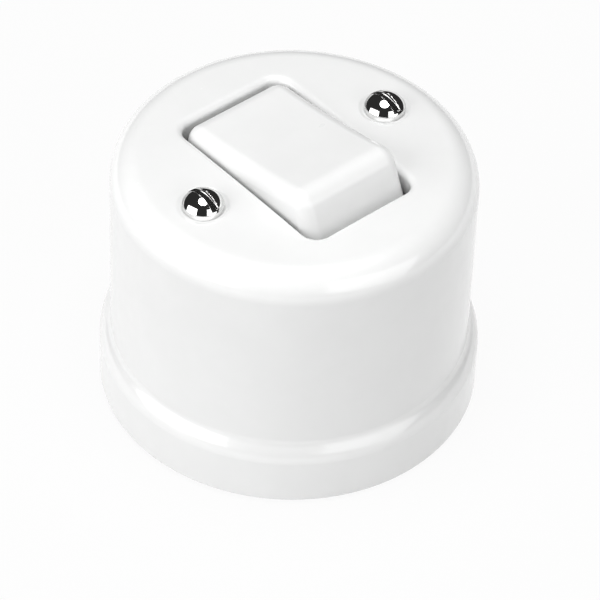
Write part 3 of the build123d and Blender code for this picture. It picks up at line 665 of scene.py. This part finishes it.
def make_cover(seat_steps=10, hole_segments=48):
    """The cover as one closed skin of rings, from the ceiling up through the window, over the top, down
    the outside and back up inside. Its edges are rounded next, and last the screws' seats go in."""
    shell = bmesh.new()
    start = window_ring(shell)
    ring = grow_ring(shell, start, lambda a: (window_reach(a, 0), ceiling_z + window_ease))
    lip = grow_ring(shell, ring, lambda a: (window_reach(a, 0), crown_z(window_reach(a, window_lip_r))))
    ring = lip
    for share in (0, 0.25, 0.5, 0.75, 1):
        def blend_out(angle, share=share):
            inner = window_reach(angle, window_lip_r + ring_gap)
            reach = inner + (top_r - top_edge_r - ring_gap - inner) * share
            return reach, crown_z(reach)
        ring = grow_ring(shell, ring, blend_out)
    top_edge = grow_ring(shell, ring, radius_ring(top_r, cover_height - crown_rise))
    root = grow_ring(shell, top_edge, radius_ring(drum_r, foot_shoulder_z + foot_slope_height))
    shoulder = grow_ring(shell, root, radius_ring(foot_r - foot_draft, foot_shoulder_z))
    rim = grow_ring(shell, shoulder, radius_ring(foot_r, wall_gap))
    inner_rim = grow_ring(shell, rim, radius_ring(foot_r - foot_wall, wall_gap))
    ring = grow_ring(shell, inner_rim, radius_ring(foot_r - foot_wall, ledge_z))
    ring = grow_ring(shell, ring, radius_ring(drum_r - drum_wall, ledge_z))
    ceiling_edge = grow_ring(shell, ring, radius_ring(drum_r - drum_wall, ceiling_z))
    ring = ceiling_edge
    for share in (0.75, 0.5, 0.25, 0):
        def blend_in(angle, share=share):
            inner = window_reach(angle, window_ease)
            return inner + (drum_r - drum_wall - ceiling_band - inner) * share, ceiling_z
        ring = grow_ring(shell, ring, blend_in)
    bmesh.ops.remove_doubles(shell, verts=shell.verts, dist=cover_weld)
    bmesh.ops.recalc_face_normals(shell, faces=shell.faces)

    slope = atan2(drum_r - foot_r + foot_draft, foot_slope_height)
    rings = (
        (lip, window_lip_r, pi / 2, 8),
        (top_edge, top_edge_r, pi / 2, 18),
        (root, foot_fillet_r, abs(slope), 6),
        (shoulder, foot_crest_r, abs(slope), 10),
        (rim, rim_r, pi / 2, 5),
        (inner_rim, rim_r, pi / 2, 5),
        (ceiling_edge, inner_fillet_r, pi / 2, 6),
    )
    for edges, radius, turn, segments in rings:
        round_off(shell, [edge for edge in edges if edge.is_valid], radius, turn, segments)

    for x in (-screw_x, screw_x):
        opening = clear_round(shell, x, seat_z, seat_rim_r + seat_margin)
        circle = bmesh.ops.create_circle(
            shell, segments=hole_segments, radius=seat_rim_r, matrix=Matrix.Translation((x, 0, 0))
        )["verts"]
        for vert in circle:
            vert.co.z = crown_z(vert.co.xy.length)
        ring = list(dict.fromkeys(edge for vert in circle for edge in vert.link_edges))
        bmesh.ops.bridge_loops(shell, edges=opening + ring)
        for i in range(1, seat_steps + 1):
            share = i / seat_steps
            fall = share * share * (3 - 2 * share)
            reach = seat_rim_r + (seat_r - seat_rim_r) * share
            ring = grow_circle(shell, ring, x, lambda co: (
                reach, crown_z(co.xy.length) * (1 - fall) + seat_z * fall
            ))
        ring = grow_circle(shell, ring, x, lambda co: (screw_hole_r + hole_ease, seat_z))
        ring = grow_circle(shell, ring, x, lambda co: (screw_hole_r, seat_z - hole_ease))
        ring = grow_circle(shell, ring, x, lambda co: (screw_hole_r, ceiling_z))
        opening = clear_round(shell, x, ceiling_z, screw_hole_r + hole_margin)
        bmesh.ops.bridge_loops(shell, edges=opening + ring)
    bmesh.ops.remove_doubles(shell, verts=shell.verts, dist=cover_weld)
    bmesh.ops.recalc_face_normals(shell, faces=shell.faces)
    mesh = bpy.data.meshes.new("glazed_cover")
    shell.to_mesh(mesh)
    shell.free()
    return mesh


cover_glaze = glaze(
    "cover_glaze_finish", tone=(0.875, 0.878, 0.875, 1), other_tone=(0.855, 0.858, 0.855, 1), patch=14.0,
    smooth=0.2, dull=0.28, wave=0.02,
    plain={"IOR": 1.5, "Coat Weight": 0.8, "Coat Roughness": 0.06, "Coat IOR": 1.52},
)
cover = new_piece("glazed_cover", make_cover(), cover_glaze)
even_shading = cover.modifiers.new("even_shading", "WEIGHTED_NORMAL")
even_shading.keep_sharp = True
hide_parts("cover")
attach(cover, "housing")


# Cover screws. Turned brass with a high round head, slotted, polished and plated bright. They pass through
# the cover into the pillars, and their heads sit in the two shallow seats.
head_r, head_height = 3.55 * mm, 3.05 * mm
head_ease, head_shoulder_r, dome_turn = 0.06 * mm, 0.45 * mm, radians(58)
slot_width, slot_depth, slot_arris = 1.3 * mm, 1.6 * mm, 0.07 * mm
shank_r, shank_length = 2.0 * mm, 18.0 * mm
screw_weld, slot_weld, slot_reach = 0.002 * mm, 0.01 * mm, 0.005 * mm


def screw_outline(dome_steps=18, shoulder_steps=6):
    """The turned outline (x, z) from the top of the dome round the head and down to the shank's end."""
    dome_r = (head_r - head_shoulder_r * (1 - sin(dome_turn))) / sin(dome_turn)
    outline = []
    for i in range(dome_steps + 1):
        angle = dome_turn * i / dome_steps
        outline.append((dome_r * sin(angle), head_height - dome_r * (1 - cos(angle))))
    centre_z = outline[-1][1] - head_shoulder_r * cos(dome_turn)
    for i in range(1, shoulder_steps + 1):
        angle = dome_turn + (pi / 2 - dome_turn) * i / shoulder_steps
        out = head_r - head_shoulder_r * (1 - sin(angle))
        outline.append((out, centre_z + head_shoulder_r * cos(angle)))
    under_head = [(head_r, head_ease), (head_r - head_ease, 0), (shank_r, 0)]
    return outline + under_head + [(shank_r, -shank_length), (0, -shank_length)]


def in_fixed_order(spun):
    """Sort the edges and faces by height and turn, because a spin leaves them in no fixed order."""
    def place(piece):
        middle = sum((vert.co for vert in piece.verts), Vector()) / len(piece.verts)
        return round(middle.z / screw_weld) * 10 + round(atan2(middle.y, middle.x), 4)
    spun.edges.sort(key=place)
    spun.faces.sort(key=place)


def make_screw(segments=72):
    """One screw on the Z axis, with its head standing on z = 0 and its slot along Y."""
    screw = bmesh.new()
    row = [screw.verts.new((x, 0, z)) for x, z in screw_outline()]
    edges = [screw.edges.new(pair) for pair in zip(row, row[1:])]
    bmesh.ops.spin(
        screw, geom=row + edges, cent=(0, 0, 0), axis=(0, 0, 1), angle=2 * pi, steps=segments,
        use_merge=True,
    )
    bmesh.ops.remove_doubles(screw, verts=screw.verts, dist=screw_weld)
    in_fixed_order(screw)

    floor_z = head_height - slot_depth
    half = slot_width / 2
    cuts = (((-half, 0, 0), (1, 0, 0)), ((half, 0, 0), (1, 0, 0)), ((0, 0, floor_z), (0, 0, 1)))
    for place, facing in cuts:
        whole = screw.verts[:] + screw.edges[:] + screw.faces[:]
        bmesh.ops.bisect_plane(screw, geom=whole, plane_co=place, plane_no=facing, dist=screw_weld / 2)

    def on_slot_wall(edge):
        return all(abs(abs(vert.co.x) - half) < slot_reach for vert in edge.verts)

    taken = []
    for face in screw.faces:
        middle = face.calc_center_median()
        if abs(middle.x) < half and middle.z > floor_z:
            taken.append(face)
    bmesh.ops.delete(screw, geom=taken, context="FACES")
    walls = [
        edge for edge in screw.edges
        if len(edge.link_faces) == 1 and on_slot_wall(edge)
        and min(vert.co.z for vert in edge.verts) > floor_z - slot_reach
    ]
    made = bmesh.ops.extrude_edge_only(screw, edges=walls)["geom"]
    for vert in made:
        if isinstance(vert, bmesh.types.BMVert):
            vert.co.z = floor_z
    bmesh.ops.remove_doubles(screw, verts=screw.verts, dist=slot_weld)
    bmesh.ops.contextual_create(screw, geom=[edge for edge in screw.edges if len(edge.link_faces) == 1])
    bmesh.ops.recalc_face_normals(screw, faces=screw.faces)
    arris = [
        edge for edge in screw.edges
        if len(edge.link_faces) == 2 and on_slot_wall(edge) and edge.calc_face_angle() > radians(35)
        and min(vert.co.z for vert in edge.verts) > floor_z + 2 * slot_weld
    ]
    bmesh.ops.bevel(
        screw, geom=arris, offset=slot_arris, affect="EDGES", segments=2, profile=0.5, material=-1,
    )
    return screw


def place_screws(name):
    """Both screws in one mesh, standing in their seats."""
    whole = bmesh.new()
    mesh = bpy.data.meshes.new(name)
    for x in (-screw_x, screw_x):
        screw = make_screw()
        bmesh.ops.translate(screw, vec=(x, 0, seat_z), verts=screw.verts)
        screw.to_mesh(mesh)
        whole.from_mesh(mesh)
        screw.free()
    whole.to_mesh(mesh)
    whole.free()
    return mesh


bright_plating = metal(
    "bright_plating_finish", tone=(0.80, 0.80, 0.795, 1), other_tone=(0.74, 0.74, 0.735, 1), patch=1.5,
    smooth=0.035, dull=0.07, spacing=0.05, depth=0.0003,
)
screws = new_piece("bright_cover_screws", place_screws("bright_cover_screws"), bright_plating)
crisp_slot = screws.modifiers.new("crisp_slot", "WEIGHTED_NORMAL")
crisp_slot.keep_sharp = True
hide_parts("cover_screws")
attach(screws, "housing")


# Studio. A white table top that the switch lies on, and broad soft boxes to the left, to the right and
# above. The table keeps the switch's shadow, and shows plain white to the camera and in shiny things.
table_reach, table_drop = 1.6, 0.2 * mm
plain_white_share = 0.93


def make_table():
    sheet = bmesh.new()
    bmesh.ops.create_grid(sheet, x_segments=1, y_segments=1, size=table_reach)
    mesh = bpy.data.meshes.new("table_top")
    sheet.to_mesh(mesh)
    sheet.free()
    material, tree, shader = new_material("table_top_white", {
        "Base Color": (0.66, 0.66, 0.66, 1), "Roughness": 0.9,
    })
    material.cycles.emission_sampling = "NONE"
    path = new_node(tree, "ShaderNodeLightPath")
    seen = new_node(tree, "ShaderNodeMath", operation="MAXIMUM")
    shown = new_node(tree, "ShaderNodeMath", operation="MAXIMUM")
    glow = new_node(tree, "ShaderNodeEmission", {"Strength": 1.0})
    share = new_node(tree, "ShaderNodeMath", {1: plain_white_share}, operation="MULTIPLY")
    mix = new_node(tree, "ShaderNodeMixShader")
    tree.links.new(path.outputs["Is Camera Ray"], seen.inputs[0])
    tree.links.new(path.outputs["Is Glossy Ray"], seen.inputs[1])
    tree.links.new(seen.outputs[0], shown.inputs[0])
    tree.links.new(path.outputs["Is Transmission Ray"], shown.inputs[1])
    tree.links.new(shown.outputs[0], share.inputs[0])
    tree.links.new(share.outputs[0], mix.inputs[0])
    tree.links.new(shader.outputs[0], mix.inputs[1])
    tree.links.new(glow.outputs[0], mix.inputs[2])
    tree.links.new(mix.outputs[0], tree.nodes["Material Output"].inputs["Surface"])
    table = bpy.data.objects.new("table_top", mesh)
    table.data.materials.append(material)
    table.location.z = -table_drop
    bpy.context.scene.collection.objects.link(table)


def add_soft_box(name, place, aim, width, height, power, lean=0, shape="RECTANGLE"):
    """A soft box that faces the aim, leaning sideways by an angle in degrees."""
    lamp = bpy.data.lights.new(name, "AREA")
    lamp.shape = shape
    lamp.size, lamp.size_y = width, height
    lamp.energy = power
    box = bpy.data.objects.new(name, lamp)
    turn = (Vector(aim) - Vector(place)).to_track_quat("-Z", "Y").to_matrix().to_4x4()
    box.matrix_world = Matrix.Translation(place) @ turn @ Matrix.Rotation(radians(lean), 4, "Z")
    bpy.context.scene.collection.objects.link(box)


make_table()
middle = (0, 0, 0.03)
add_soft_box("left_soft_box", (-0.93, 0.2, 0.38), middle, 1.0, 0.76, 7.3, lean=22)
add_soft_box("right_soft_box", (0.1, -0.92, 0.42), middle, 0.9, 0.76, 3.7, lean=-22)
add_soft_box("top_soft_box", (-0.02, 0.0, 0.95), middle, 0.66, 0.66, 7.6, shape="ELLIPSE")

world = bpy.data.worlds.new("studio")
world.use_nodes = True
room = world.node_tree.nodes["Background"]
room.inputs["Color"].default_value = (1, 1, 1, 1)
room.inputs["Strength"].default_value = 0.03
bpy.context.scene.world = world
bpy.context.scene.view_settings.view_transform = "Standard"


# Camera. The photograph's viewing angle: high over the near left, turned a little about the line of sight.
camera_place = Vector((-274.4, -308.0, 412.5)) * mm
camera_aim = Vector((1.300, -1.158, 15.945)) * mm
camera_roll = 0.041
lens = bpy.data.cameras.new("camera")
lens.sensor_width = 36.0
lens.lens = 195.9
lens.clip_start = 0.01
camera = bpy.data.objects.new("camera", lens)
look = (camera_aim - camera_place).to_track_quat("-Z", "Y").to_matrix().to_4x4()
camera.matrix_world = Matrix.Translation(camera_place) @ look @ Matrix.Rotation(camera_roll, 4, "Z")
bpy.context.scene.collection.objects.link(camera)
bpy.context.scene.camera = camera
